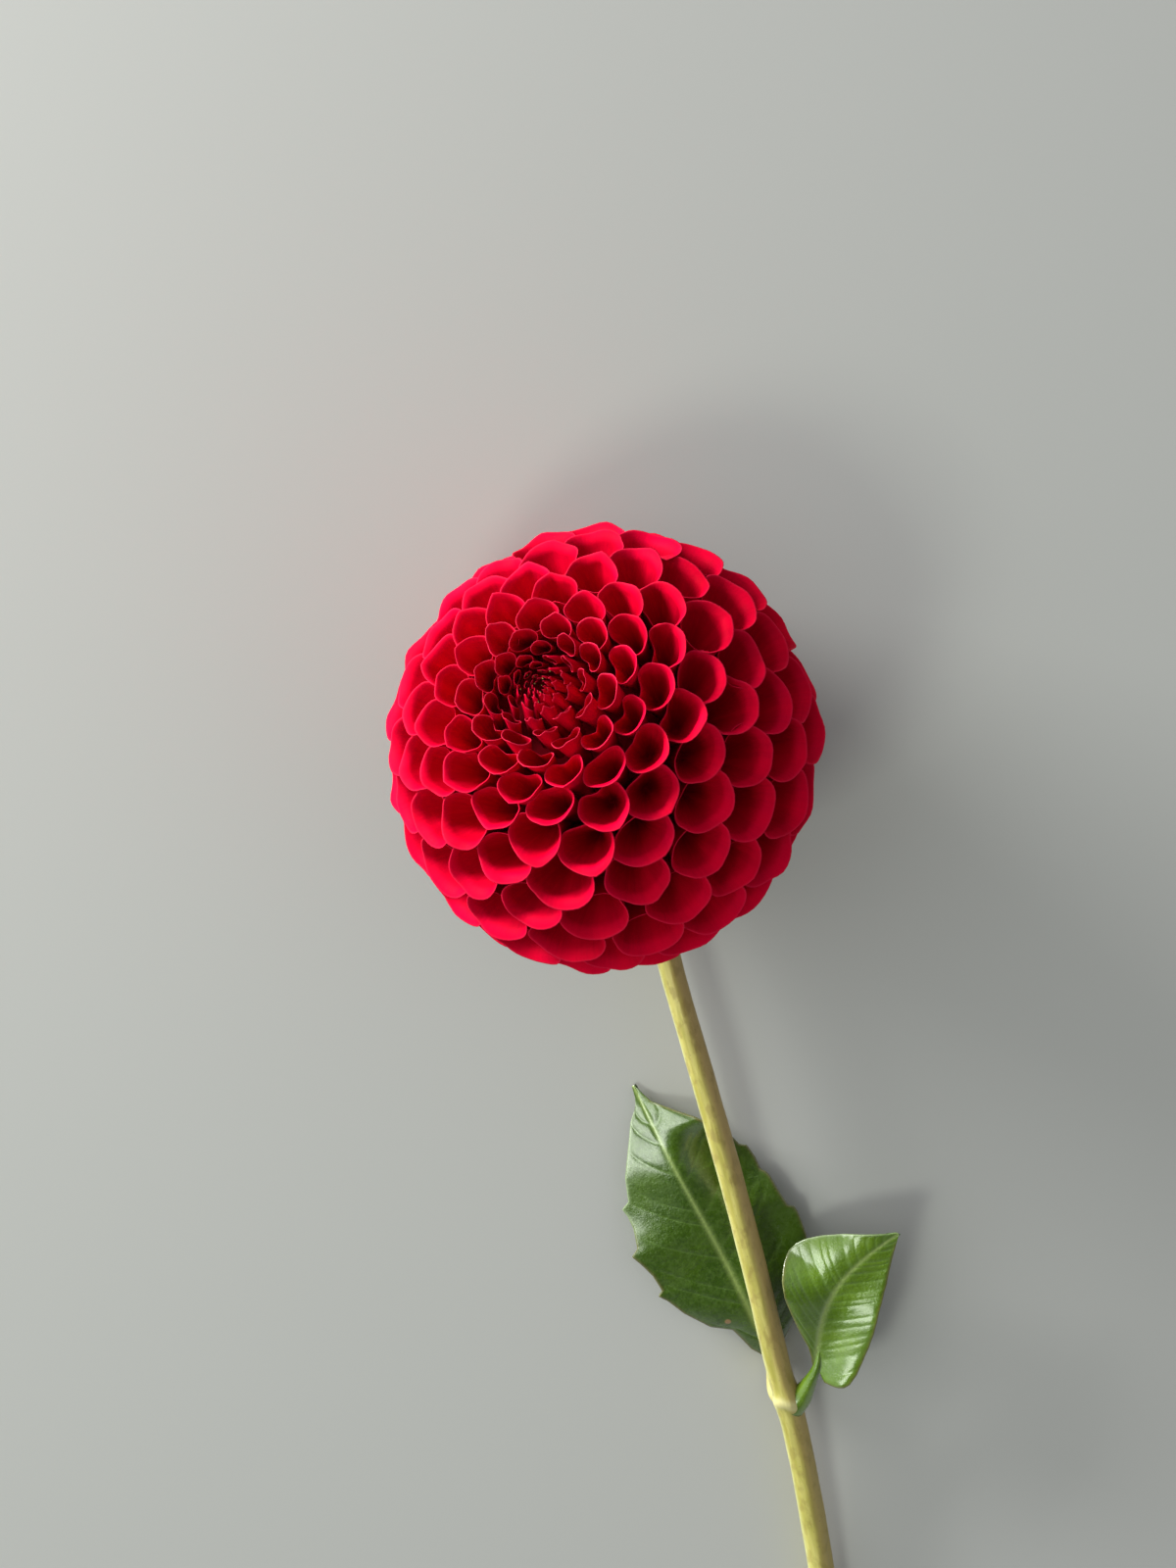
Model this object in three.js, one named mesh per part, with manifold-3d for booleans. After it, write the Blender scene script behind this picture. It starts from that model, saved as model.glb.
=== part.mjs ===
// A pompon dahlia: a red ball of cupped florets on a cut stem with two leaves, laid on its side.
import * as THREE from "three";
import * as BufferGeometryUtils from "three/addons/utils/BufferGeometryUtils.js";
import Module from "manifold-3d";

const wasm = await Module();
wasm.setup();

// Driving dimensions in millimetres, angles in degrees. The surface is z = 0, +Y points to the bloom.
const BALL_RADIUS = 26;
const BALL_FLATNESS = 0.86;
const BALL_CENTRE = [0, 71, 23.5];
const BLOOM_AXIS = [-0.217, 0.66, 0.719];
const EYE_DIP = 1.2;
const EYE_DIP_ANGLE = 12;
const GOLDEN_ANGLE = 137.508;
const SPIRAL_TURN = 40;
const FLORET_SPACING = 7.2;
const SPACING_ANGLE = 26;
const FIRST_FLORET_ANGLE = 6;
const LAST_FLORET_ANGLE = 152;
const FLORET_SIDES = 6;
const FLORET_WALL = 0.6;
const MOUTH_WIDTH = 0.51;
const MOUTH_HEIGHT = 0.46;
const LIP_DROP = 0.16;
const TUBE_LEAN = 9;
const BUD_SIZE = 2;
const PIT_DEPTH = 3.9;
const CORE_DEPTH = 5;
const CALYX_SEAT = 16.6;
const CALYX_RADIUS = 7.6;
const CALYX_THICKNESS = 1.8;
const BRACT_COUNT = 7;
const GAP = 0.3;
const SLIVER = 0.03;
const STEM_SIDES = 14;
const NODE_ALONG = 0.6;
const BLADE_THICKNESS = 0.7;

const AXIS = new THREE.Vector3(...BLOOM_AXIS).normalize();
const bloomTurn = new THREE.Quaternion().setFromUnitVectors(new THREE.Vector3(0, 0, 1), AXIS);
const rad = THREE.MathUtils.degToRad;

// Seeded random numbers from -1 to 1, the same on every run
let seed = 4711;
function wobble() {
  seed = (seed * 1103515245 + 12345) % 2147483648;
  return (seed / 2147483648) * 2 - 1;
}

// Closed skin through rings of equal length; a ring of one point closes an end to a tip
function skin(rings) {
  const sides = Math.max(...rings.map((ring) => ring.length));
  const positions = [];
  const corner = (ring, k) => ring[ring.length === 1 ? 0 : k % sides];
  const triangle = (a, b, c) => positions.push(...a.toArray(), ...b.toArray(), ...c.toArray());
  for (let i = 0; i < rings.length - 1; i++) {
    for (let k = 0; k < sides; k++) {
      const [a, b] = [corner(rings[i], k), corner(rings[i], k + 1)];
      const [c, d] = [corner(rings[i + 1], k), corner(rings[i + 1], k + 1)];
      if (rings[i].length > 1) triangle(a, b, d);
      if (rings[i + 1].length > 1) triangle(a, d, c);
    }
  }
  const geometry = new THREE.BufferGeometry();
  geometry.setAttribute("position", new THREE.Float32BufferAttribute(positions, 3));
  return geometry;
}

// Ring of points round a centre in the plane of two directions
function ring(centre, across, up, width, height, sides) {
  return Array.from({ length: sides }, (_, k) => {
    const angle = (2 * Math.PI * k) / sides;
    return centre
      .clone()
      .addScaledVector(across, width * Math.sin(angle))
      .addScaledVector(up, height * Math.cos(angle));
  });
}

// Manifold solid from a closed three.js geometry
function solid(geometry) {
  const bare = geometry.clone();
  bare.deleteAttribute("normal");
  bare.deleteAttribute("uv");
  const merged = BufferGeometryUtils.mergeVertices(bare, 1e-4);
  return new wasm.Manifold(
    new wasm.Mesh({
      numProp: 3,
      vertProperties: merged.attributes.position.array,
      triVerts: new Uint32Array(merged.index.array),
    }),
  );
}

// three.js geometry from the largest shell of a manifold solid
function geometryOf(manifold) {
  const largest = manifold.decompose().reduce((a, b) => (b.volume() > a.volume() ? b : a));
  const { vertProperties, triVerts } = largest.simplify(SLIVER).getMesh();
  const geometry = new THREE.BufferGeometry();
  geometry.setAttribute("position", new THREE.BufferAttribute(vertProperties, 3));
  geometry.setIndex(new THREE.BufferAttribute(triVerts, 1));
  return geometry;
}

// Distance from the ball's centre to its surface at an angle from the bloom's axis
function ballSurface(angle) {
  const s = Math.sin(angle);
  const c = Math.cos(angle) / BALL_FLATNESS;
  const dip = EYE_DIP * Math.exp(-((angle / rad(EYE_DIP_ANGLE)) ** 2));
  return BALL_RADIUS / Math.hypot(s, c) - dip;
}

// Angles of the florets from the eye outward: each takes an equal cell of its local spacing
function floretAngles() {
  const angles = [];
  let angle = rad(FIRST_FLORET_ANGLE);
  while (angle < rad(LAST_FLORET_ANGLE)) {
    angles.push(angle);
    const cell = spacingAt(angle) ** 2;
    angle += cell / (2 * Math.PI * BALL_RADIUS ** 2 * Math.sin(angle));
  }
  return angles;
}

function spacingAt(angle) {
  return FLORET_SPACING * (1 - Math.exp(-angle / rad(SPACING_ANGLE)));
}

// Local frame of one floret: mouth centre, tube direction, direction away from the eye, sideways
function floretFrame(angle, turn) {
  const outward = new THREE.Vector3(
    Math.sin(angle) * Math.cos(turn),
    Math.sin(angle) * Math.sin(turn),
    Math.cos(angle),
  );
  const size = spacingAt(angle);
  const mouth = outward.clone().multiplyScalar(ballSurface(angle) - LIP_DROP * size);
  const tube = mouth.clone().add(new THREE.Vector3(0, 0, TUBE_LEAN)).normalize();
  const side = new THREE.Vector3(-Math.sin(turn), Math.cos(turn), 0);
  const away = new THREE.Vector3().crossVectors(side, tube).normalize();
  return { mouth, tube, side, away, size };
}

// Rolled floret: a tapered cup whose far lip rises to a small point
function floret({ mouth, tube, side, away, size }) {
  const along = (distance) => mouth.clone().addScaledVector(tube, distance);
  const width = MOUTH_WIDTH * size * (1 + 0.04 * wobble());
  const height = MOUTH_HEIGHT * size * (1 + 0.04 * wobble());
  if (size < BUD_SIZE) {
    const belly = ring(along(-0.4 * size), side, away, width, width, 4);
    return skin([[along(-7)], belly, [along(0.5 * size)]]);
  }
  const lip = ring(mouth, side, away, width, height, FLORET_SIDES);
  lip[0].addScaledVector(away, 0.08 * height).addScaledVector(tube, 0.12 * height);
  const inner = lip.map((point) => point.clone().lerp(mouth, FLORET_WALL / height));
  return skin([[along(-Math.max(1.7 * size, 7))], lip, inner, [along(-Math.min(0.7 * size, PIT_DEPTH))]]);
}

// Core that the florets stand out of
function core() {
  const sphere = new THREE.IcosahedronGeometry(1, 1);
  const radius = BALL_RADIUS - CORE_DEPTH;
  sphere.scale(radius, radius, BALL_RADIUS * BALL_FLATNESS - CORE_DEPTH);
  return solid(sphere);
}

// Ball of florets fused with the core
function ballOfFlorets() {
  const florets = floretAngles().map((angle, i) => {
    const turn = rad(i * GOLDEN_ANGLE + SPIRAL_TURN);
    return solid(floret(floretFrame(angle, turn)));
  });
  return wasm.Manifold.union([core(), ...florets]);
}

// Place from the bloom's own frame (eye on +Z, centre at the origin) into the part's frame
function place(geometry) {
  return geometry.applyQuaternion(bloomTurn).translate(...BALL_CENTRE);
}

function bloom() {
  const pocket = new THREE.CylinderGeometry(CALYX_RADIUS + 1.5, CALYX_RADIUS + 1.5, 30, 28);
  pocket.rotateX(Math.PI / 2).translate(0, 0, -CALYX_SEAT - 15);
  const ball = place(geometryOf(ballOfFlorets().subtract(solid(pocket))));
  const below = new THREE.BoxGeometry(100, 100, 20).translate(...BALL_CENTRE.slice(0, 2), -10);
  return geometryOf(solid(ball).subtract(solid(below)));
}

// Calyx: a low disc at the back of the ball with bracts bent back over it
function calyx() {
  const profile = [
    [0, 0],
    [CALYX_RADIUS - 1, 0],
    [CALYX_RADIUS, -0.7],
    [CALYX_RADIUS - 1.6, -CALYX_THICKNESS],
    [2.6, -CALYX_THICKNESS - 1.2],
    [0, -CALYX_THICKNESS - 1.2],
  ].map(([x, y]) => new THREE.Vector2(x, y));
  const disc = new THREE.LatheGeometry(profile.reverse(), 28).rotateX(Math.PI / 2);
  const bracts = Array.from({ length: BRACT_COUNT }, (_, k) => {
    const turn = rad((360 * (k + 0.13 + 0.1 * wobble())) / BRACT_COUNT);
    return solid(bract().rotateZ(turn));
  });
  const fused = wasm.Manifold.union([solid(disc), ...bracts]);
  return place(geometryOf(fused).translate(0, 0, -CALYX_SEAT - GAP));
}

// Bract: a blunt green scale that starts inside the disc and bends away from the petals
function bract() {
  const across = new THREE.Vector3(0, -1, 0);
  const stations = [
    [2.2, -2.0, 1.2],
    [4.4, -2.5, 2.0],
    [6.4, -3.4, 2.1],
    [7.8, -4.9, 1.5],
    [8.4, -6.6, 0.5],
  ];
  const middles = stations.map(([out, up]) => new THREE.Vector3(out, 0, up));
  const rings = stations.map(([, , halfWidth], i) => {
    const tilt = i / stations.length;
    const normal = new THREE.Vector3(tilt, 0, 1 - tilt).normalize();
    return ring(middles[i], across, normal, halfWidth, 0.42, 8);
  });
  return skin([[middles[0]], ...rings, [middles.at(-1)]]);
}

// Stem path from the calyx through the bent neck to the cut end; +Y here is measured from the ball
const stemPath = new THREE.CatmullRomCurve3(
  [
    [4.46, -13.56, 8.74],
    [5.15, -16.1, 6.2],
    [4.3, -19.6, 4.9],
    [2.3, -24.2, 4.6],
    [0.7, -29.5, 5.0],
    [0.35, -36, 5.5],
    [0.5, -43, 5.8],
    [0.8, -52.3, 5.9],
    [1.2, -67, 5.7],
    [1.25, -82.3, 5.2],
    [1.1, -98.2, 4.4],
    [1.3, -103.2, 4.2],
    [1.0, -114.8, 3.5],
    [0.0, -131.5, 2.65],
    [-1.5, -149, 2.1],
    [-3.4, -166, 2.02],
  ].map(([x, y, z]) => new THREE.Vector3(x, y + BALL_CENTRE[1], z)),
);

// Stem radius along its length, with the swollen node where the leaves leave it
function stemRadius(t) {
  const taper = THREE.MathUtils.lerp(1.5, 1.98, t);
  const collar = 0.3 * Math.exp(-(((t - NODE_ALONG) / 0.012) ** 2));
  const neck = 0.5 * Math.exp(-((t / 0.03) ** 2)) + 0.16 * Math.exp(-((t / 0.13) ** 2));
  return taper + collar + neck;
}

function stem() {
  const stations = [0, 0.015, 0.03, 0.05, 0.07, 0.09, 0.12, 0.16, 0.2, 0.26, 0.32, 0.38, 0.44];
  stations.push(0.5, 0.54, 0.57, 0.583, 0.593, 0.6, 0.607, 0.617, 0.64, 0.69, 0.77, 0.83, 0.9, 1);
  const rings = stations.map((t) => {
    const point = stemPath.getPointAt(t);
    const along = stemPath.getTangentAt(t);
    const across = new THREE.Vector3().crossVectors(along, new THREE.Vector3(0, 0, 1)).normalize();
    const up = new THREE.Vector3().crossVectors(across, along).normalize();
    const radius = stemRadius(t);
    return ring(point, across, up, radius, radius, STEM_SIDES);
  });
  const first = [stemPath.getPointAt(0)];
  const last = [stemPath.getPointAt(1)];
  return geometryOf(solid(skin([first, ...rings, last])));
}

// Half width of a leaf at a share of its length, read off a list of [share, half width] corners
function halfWidth(corners, t) {
  const next = corners.findIndex(([share]) => share >= t);
  if (next <= 0) return corners[Math.max(next, 0)][1];
  const [[t0, w0], [t1, w1]] = [corners[next - 1], corners[next]];
  return THREE.MathUtils.lerp(w0, w1, (t - t0) / (t1 - t0));
}

// Leaf blade: one layer of cells between the two toothed margins, with equal cells on both faces
function blade({ base, heading, length, left, right, bow, height }) {
  const turn = rad(heading);
  const ahead = new THREE.Vector2(Math.cos(turn), Math.sin(turn));
  const shares = [...new Set([...left, ...right].map(([share]) => share))].sort((a, b) => a - b);
  const rows = shares.map((t) => {
    const [l, r] = [halfWidth(left, t), halfWidth(right, t)];
    return [l, 0.72 * l, 0.4 * l, 0.12 * l, -0.12 * r, -0.4 * r, -0.72 * r, -r].map((w) => {
      const side = w + bow(t);
      const x = base[0] + ahead.x * length * t - ahead.y * side;
      const y = base[1] + ahead.y * length * t + ahead.x * side + BALL_CENTRE[1];
      return new THREE.Vector3(x, y, height(t, w));
    });
  });
  const lower = rows.map((row) => row.map((p) => p.clone().setZ(p.z - BLADE_THICKNESS)));
  return sheet(rows, lower);
}

// Closed sheet between an upper and a lower grid of points
function sheet(upper, lower) {
  const positions = [];
  const triangle = (a, b, c) => positions.push(...a.toArray(), ...b.toArray(), ...c.toArray());
  const quad = (a, b, c, d) => {
    triangle(a, b, c);
    triangle(a, c, d);
  };
  const [rows, columns] = [upper.length - 1, upper[0].length - 1];
  for (let i = 0; i < rows; i++) {
    for (let j = 0; j < columns; j++) {
      quad(upper[i][j], upper[i][j + 1], upper[i + 1][j + 1], upper[i + 1][j]);
      triangle(lower[i][j], lower[i + 1][j + 1], lower[i][j + 1]);
      triangle(lower[i][j], lower[i + 1][j], lower[i + 1][j + 1]);
    }
    quad(upper[i][0], upper[i + 1][0], lower[i + 1][0], lower[i][0]);
    quad(upper[i + 1][columns], upper[i][columns], lower[i][columns], lower[i + 1][columns]);
  }
  for (let j = 0; j < columns; j++) {
    quad(upper[0][j + 1], upper[0][j], lower[0][j], lower[0][j + 1]);
    quad(upper[rows][j], upper[rows][j + 1], lower[rows][j + 1], lower[rows][j]);
  }
  const geometry = new THREE.BufferGeometry();
  geometry.setAttribute("position", new THREE.Float32BufferAttribute(positions, 3));
  return geometry;
}

// Stalk of a leaf that runs on as the midrib, tapering to the tip
function stalk(points, thick, thin) {
  const path = new THREE.CatmullRomCurve3(
    points.map(([x, y, z]) => new THREE.Vector3(x, y + BALL_CENTRE[1], z)),
  );
  const count = 14;
  const rings = Array.from({ length: count + 1 }, (_, i) => {
    const along = path.getTangentAt(i / count);
    const across = new THREE.Vector3().crossVectors(along, new THREE.Vector3(0, 0, 1)).normalize();
    const up = new THREE.Vector3().crossVectors(across, along).normalize();
    const radius = THREE.MathUtils.lerp(thick, thin, Math.sqrt(i / count));
    return ring(path.getPointAt(i / count), across, up, radius, radius, 7);
  });
  return skin([[path.getPointAt(0)], ...rings, [path.getPointAt(1)]]);
}

function leaf(shape, stalkPoints, thick, thin) {
  return geometryOf(solid(blade(shape)).add(solid(stalk(stalkPoints, thick, thin))));
}

// Large leaf, flat under the stem: corners are [share of length, half width], teeth included
const LARGE_LEAF = {
  base: [0.58, -98.8],
  heading: 101.5,
  length: 46.1,
  left: [
    [0, 0.5],
    [0.07, 2.5],
    [0.16, 4],
    [0.2, 6.9],
    [0.28, 9.3],
    [0.365, 11.2],
    [0.39, 10.6],
    [0.44, 10.8],
    [0.52, 11.9],
    [0.55, 10.6],
    [0.62, 9.8],
    [0.66, 10.1],
    [0.68, 8.8],
    [0.755, 7.5],
    [0.81, 5.9],
    [0.9, 3.0],
    [0.96, 0.7],
    [1, 0.35],
  ],
  right: [
    [0, 0.5],
    [0.07, 3],
    [0.2, 7.6],
    [0.28, 9.5],
    [0.41, 10.4],
    [0.46, 10.3],
    [0.48, 9.7],
    [0.54, 9.5],
    [0.59, 9.2],
    [0.65, 9],
    [0.69, 8.6],
    [0.705, 7.9],
    [0.82, 6.3],
    [0.86, 5.1],
    [0.9, 3.0],
    [0.96, 0.7],
    [1, 0.35],
  ],
  bow: (t) => -1.75 * Math.sin(Math.PI * t ** 0.9),
  height: (t, w) => 1.25 + 0.5 * Math.sin(3 * t) + 0.35 * Math.sin(9 * t + 1) * (Math.abs(w) / 10) ** 2,
};

// Small leaf, folded up along its midrib and rising from the node
const SMALL_LEAF = {
  base: [4.6, -98.0],
  heading: 49,
  length: 25.2,
  left: [
    [-0.06, 0.6],
    [0, 0.7],
    [0.08, 1.2],
    [0.13, 2.9],
    [0.2, 4.7],
    [0.28, 6.0],
    [0.42, 7.2],
    [0.55, 8.2],
    [0.66, 8.6],
    [0.75, 7.7],
    [0.84, 5.2],
    [0.92, 2.8],
    [1, 0.35],
  ],
  right: [
    [-0.06, 2.9],
    [0, 4.2],
    [0.08, 5.4],
    [0.2, 6.4],
    [0.28, 6.8],
    [0.42, 7.0],
    [0.55, 6.4],
    [0.66, 5.5],
    [0.75, 4.4],
    [0.84, 3.0],
    [0.92, 1.6],
    [1, 0.35],
  ],
  bow: (t) => 3.0 * Math.sin(Math.PI * THREE.MathUtils.clamp(t, 0, 1)),
  height: (t, w) => 6.6 + 3.6 * t - 0.6 * t * t + 0.42 * Math.abs(w) * (1 - 0.6 * t),
};

const LARGE_STALK = [
  [0.9, -102.2, 1.35],
  [0.58, -98.8, 1.2],
  [0.6, -90, 1.2],
  [-1.0, -77, 1.35],
];
const SMALL_STALK = [
  [4.22, -102.7, 4.6],
  [5.0, -100.9, 5.4],
  [5.5, -98.6, 6.2],
  [7.0, -92.6, 7.0],
  [10.6, -87.2, 8.0],
];

function piece(name, geometry, color, roughness) {
  const flat = geometry.index ? geometry.toNonIndexed() : geometry;
  flat.computeVertexNormals();
  const mesh = new THREE.Mesh(flat, new THREE.MeshStandardMaterial({ color, roughness, metalness: 0 }));
  mesh.name = name;
  return mesh;
}

const flower = new THREE.Group();
flower.name = "pompon_dahlia";
flower.add(
  piece("bloom", bloom(), 0xc4001f, 0.7),
  piece("calyx", calyx(), 0x6f8a3a, 0.7),
  piece("stem", stem(), 0xa9a04a, 0.6),
  piece("leaf_large", leaf(LARGE_LEAF, LARGE_STALK, 0.75, 0.5), 0x46661f, 0.45),
  piece("leaf_small", leaf(SMALL_LEAF, SMALL_STALK, 0.8, 0.5), 0x567a28, 0.45),
);

export default flower;
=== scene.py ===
"""Looks of a cut pompon dahlia lying on a pale surface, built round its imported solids.

Lengths are millimetres until a mesh is made, which scales them to metres. The surface, the lamps,
the camera's clipping and the relief of the materials are given in metres.
"""

import math

import bmesh
import bpy
import numpy as np
from mathutils import Matrix, Vector


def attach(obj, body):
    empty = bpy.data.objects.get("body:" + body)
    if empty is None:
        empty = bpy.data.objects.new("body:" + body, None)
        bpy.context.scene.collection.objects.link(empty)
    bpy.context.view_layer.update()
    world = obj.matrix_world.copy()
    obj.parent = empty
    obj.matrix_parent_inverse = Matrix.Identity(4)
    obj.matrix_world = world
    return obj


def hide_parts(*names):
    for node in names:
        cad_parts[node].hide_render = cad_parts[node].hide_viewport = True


MM = 0.001
CURVE_STEPS = 24

# The ball and its florets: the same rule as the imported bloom, carried on into the eye. Angles are
# degrees, and a floret's angle is counted from the eye.
BALL_RADIUS = 26.0
BALL_FLATNESS = 0.86
BALL_CENTRE = np.array([0.0, 71.0, 23.5])
BLOOM_AXIS = np.array([-0.217, 0.66, 0.719])
EYE_DIP = 1.2
EYE_DIP_ANGLE = 12.0
GOLDEN_ANGLE = 137.508
SPIRAL_TURN = 40.0
FLORET_SPACING = 7.2
SPACING_ANGLE = 26.0
FIRST_FLORET_ANGLE = 6.0
LAST_FLORET_ANGLE = 152.0
EYE_ANGLE = 1.5
CORE_RADIUS = 20.0
CORE_HEIGHT = 17.2
CALYX_SEAT = 16.6

# Every floret points away from a place this far behind the ball's centre
TUBE_ORIGIN = 9.0
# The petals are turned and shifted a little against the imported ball, as the photo shows them
PETAL_AXIS = np.array([-0.185, 0.610, 0.733])
PETAL_SHIFT = np.array([-0.62, 0.5, -0.1])
# The ball swells by this much at both ends of one direction
SWELL = 1.0
SWELL_TOWARD = np.array([0.23, 0.91, 0.33])

# The camera stands where the photo's did, measured from the bloom
PHOTO_TURN = np.array(
    [[0.9711, 0.2322, 0.0554], [-0.2378, 0.9208, 0.3090], [0.0208, -0.3133, 0.9494]]
)
BALL_FROM_CAMERA = np.array([2.07, 4.15, -299.6])
LENS = 58.5

rng = np.random.default_rng(7)


# Small tools


def smoothstep(low, high, x):
    t = np.clip((x - low) / (high - low), 0.0, 1.0)
    return t * t * (3 - 2 * t)


def unit(vector):
    return vector / np.linalg.norm(vector, axis=-1, keepdims=True)


def bump(x, width):
    return np.exp(-((x / width) ** 2))


def circle(sides):
    """Angles of evenly spaced points round a circle."""
    return np.arange(sides) / sides * 2 * math.pi


def turned(first, second, angle):
    """Two directions at right angles, both turned by an angle from the first toward the second."""
    c, s = math.cos(angle), math.sin(angle)
    return first * c + second * s, second * c - first * s


def add_object(name, data):
    """Object in the scene for a mesh, a lamp or the camera."""
    thing = bpy.data.objects.new(name, data)
    bpy.context.scene.collection.objects.link(thing)
    return thing


def make_piece(name, points, faces, layers):
    """Smooth object from points in mm and lists of faces, with point layers for its material."""
    mesh = bpy.data.meshes.new(name)
    mesh.from_pydata((points * MM).tolist(), [], [tuple(f) for f in faces])
    for key, values in layers.items():
        layer = mesh.attributes.new(key, "FLOAT", "POINT")
        layer.data.foreach_set("value", np.asarray(values, dtype=np.float32))
    mesh.validate()
    outward = bmesh.new()
    outward.from_mesh(mesh)
    bmesh.ops.recalc_face_normals(outward, faces=outward.faces)
    outward.to_mesh(mesh)
    outward.free()
    mesh.polygons.foreach_set("use_smooth", [True] * len(mesh.polygons))
    return add_object(name, mesh)


def sleeve_faces(rows, sides, start=0):
    """Quads between rings of points, and a fan at each end to one of the two tips after them."""
    ring = np.arange(sides)
    after = (ring + 1) % sides
    faces = []
    for i in range(rows - 1):
        a, b = start + i * sides, start + (i + 1) * sides
        faces += np.stack([a + ring, a + after, b + after, b + ring], axis=1).tolist()
    last = start + (rows - 1) * sides
    tip = start + rows * sides
    faces += [[tip, start + int(after[k]), start + int(k)] for k in ring]
    faces += [[tip + 1, last + int(k), last + int(after[k])] for k in ring]
    return faces


def two_faced(upper, thickness):
    """Closed sheet of even thickness under a grid of upper points."""
    rows, columns = upper.shape[:2]
    normal = unit(np.cross(np.gradient(upper, axis=0), np.gradient(upper, axis=1)))
    normal *= np.where(normal[..., 2:] < 0, -1, 1)
    lower = upper - normal * thickness
    index = np.arange(rows * columns).reshape(rows, columns)
    under = index + rows * columns
    quads = [
        np.stack([index[:-1, :-1], index[:-1, 1:], index[1:, 1:], index[1:, :-1]], -1),
        np.stack([under[:-1, :-1], under[1:, :-1], under[1:, 1:], under[:-1, 1:]], -1),
    ]
    quads = [q.reshape(-1, 4) for q in quads]
    edges = [
        (index[:, 0], under[:, 0]),
        (under[:, -1], index[:, -1]),
        (under[0], index[0]),
        (index[-1], under[-1]),
    ]
    for a, b in edges:
        quads.append(np.stack([a[:-1], a[1:], b[1:], b[:-1]], -1))
    return np.vstack([upper.reshape(-1, 3), lower.reshape(-1, 3)]), np.vstack(quads).tolist()


def curve_points(points, count):
    """Evenly spaced points on a smooth curve through the given ones."""
    points = np.asarray(points, float)
    padded = np.vstack([2 * points[0] - points[1], points, 2 * points[-1] - points[-2]])
    fine = []
    for i in range(1, len(padded) - 2):
        p0, p1, p2, p3 = padded[i - 1 : i + 3]
        t = np.linspace(0, 1, CURVE_STEPS, endpoint=False)[:, None]
        fine.append(
            0.5 * (2 * p1 + (p2 - p0) * t + (2 * p0 - 5 * p1 + 4 * p2 - p3) * t**2)
            + 0.5 * (3 * p1 - p0 - 3 * p2 + p3) * t**3
        )
    fine = np.vstack(fine + [points[-1:]])
    length = np.concatenate([[0], np.cumsum(np.linalg.norm(np.diff(fine, axis=0), axis=1))])
    at = np.linspace(0, length[-1], count)
    return np.stack([np.interp(at, length, fine[:, k]) for k in range(3)], axis=1)


def swept(path, radius):
    """Tube along a path that stays near level; radius is an array of path points by sides."""
    rows, sides = radius.shape
    along = unit(np.gradient(path, axis=0))
    across = unit(np.cross(along, [0.0, 0.0, 1.0]))
    up = np.cross(across, along)
    theta = circle(sides)[None, :, None]
    ring = across[:, None, :] * np.sin(theta) + up[:, None, :] * np.cos(theta)
    points = (path[:, None, :] + ring * radius[..., None]).reshape(-1, 3)
    return np.vstack([points, path[:1], path[-1:]]), sleeve_faces(rows, sides)


# Bloom: where each floret stands

# Form of a floret by its angle from the eye: half width and half height of the mouth, extra lean
# toward the eye, dip of the inner margin, cleft between the rolled margins, apex, rise of the far
# lip, height of the rolled lip, its outward flare. The lean is in degrees and the cleft a share
# of the half height. All else are shares of the floret's size, which is the spacing at its place.
FORM_ANGLES = [2, 8, 14, 20, 28, 38, 50, 80, 120, 152]
FORM = {
    "width": [0.36, 0.44, 0.52, 0.57, 0.60, 0.61, 0.62, 0.65, 0.67, 0.67],
    "height": [0.14, 0.20, 0.34, 0.43, 0.45, 0.43, 0.44, 0.46, 0.42, 0.36],
    "lean": [28, 27, 24, 20, 17, 12, 6, 0, 0, -4],
    "dip": [0.05, 0.10, 0.16, 0.16, 0.13, 0.09, 0.06, 0.05, 0.05, 0.05],
    "cleft": [0.0, 0.20, 0.38, 0.44, 0.38, 0.26, 0.16, 0.08, 0.05, 0.05],
    "apex": [0.50, 0.34, 0.20, 0.13, 0.08, 0.05, 0.03, 0.02, 0.02, 0.02],
    "rise": [0.30, 0.28, 0.20, 0.14, 0.08, 0.04, 0.03, 0.03, 0.05, 0.08],
    "roll": [0.26, 0.26, 0.24, 0.2, 0.17, 0.16, 0.18, 0.25, 0.26, 0.26],
    "flare": [0.0, 0.0, 0.01, 0.02, 0.05, 0.09, 0.13, 0.13, 0.12, 0.10],
}
# The middle of a mouth lies this share of the floret's size under the ball's surface
MOUTH_DEPTH = 0.24
# How far single florets stray from the rule, in degrees, and in depth as a share of their size
TURN_SPREAD = 1.6
TWIST_SPREAD = 6.0
LEAN_SPREAD_FRONT = 3.0
LEAN_SPREAD_BACK = 1.2
DEPTH_SPREAD = 0.02
# Florets within this many radians of the eye have the front's spread of lean
FRONT_ANGLE = 1.1


def spacing_at(angle):
    return FLORET_SPACING * (1 - math.exp(-angle / math.radians(SPACING_ANGLE)))


def ball_surface(angle):
    """Distance from the ball's centre to its surface, which is sunken at the eye."""
    dip = EYE_DIP * math.exp(-((angle / math.radians(EYE_DIP_ANGLE)) ** 2))
    return BALL_RADIUS / math.hypot(math.sin(angle), math.cos(angle) / BALL_FLATNESS) - dip


def floret_angles():
    """Angles from the eye outward, and the number of florets inside the first packed one."""

    def step(angle):
        return spacing_at(angle) ** 2 / (2 * math.pi * BALL_RADIUS**2 * math.sin(angle))

    first = math.radians(FIRST_FLORET_ANGLE)
    outward, angle = [], first
    while angle < math.radians(LAST_FLORET_ANGLE):
        outward.append(angle)
        angle += step(angle)
    inward, angle = [], first - step(first)
    while angle > math.radians(EYE_ANGLE):
        inward.append(angle)
        angle -= step(angle)
    return inward[::-1] + outward, len(inward)


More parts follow.
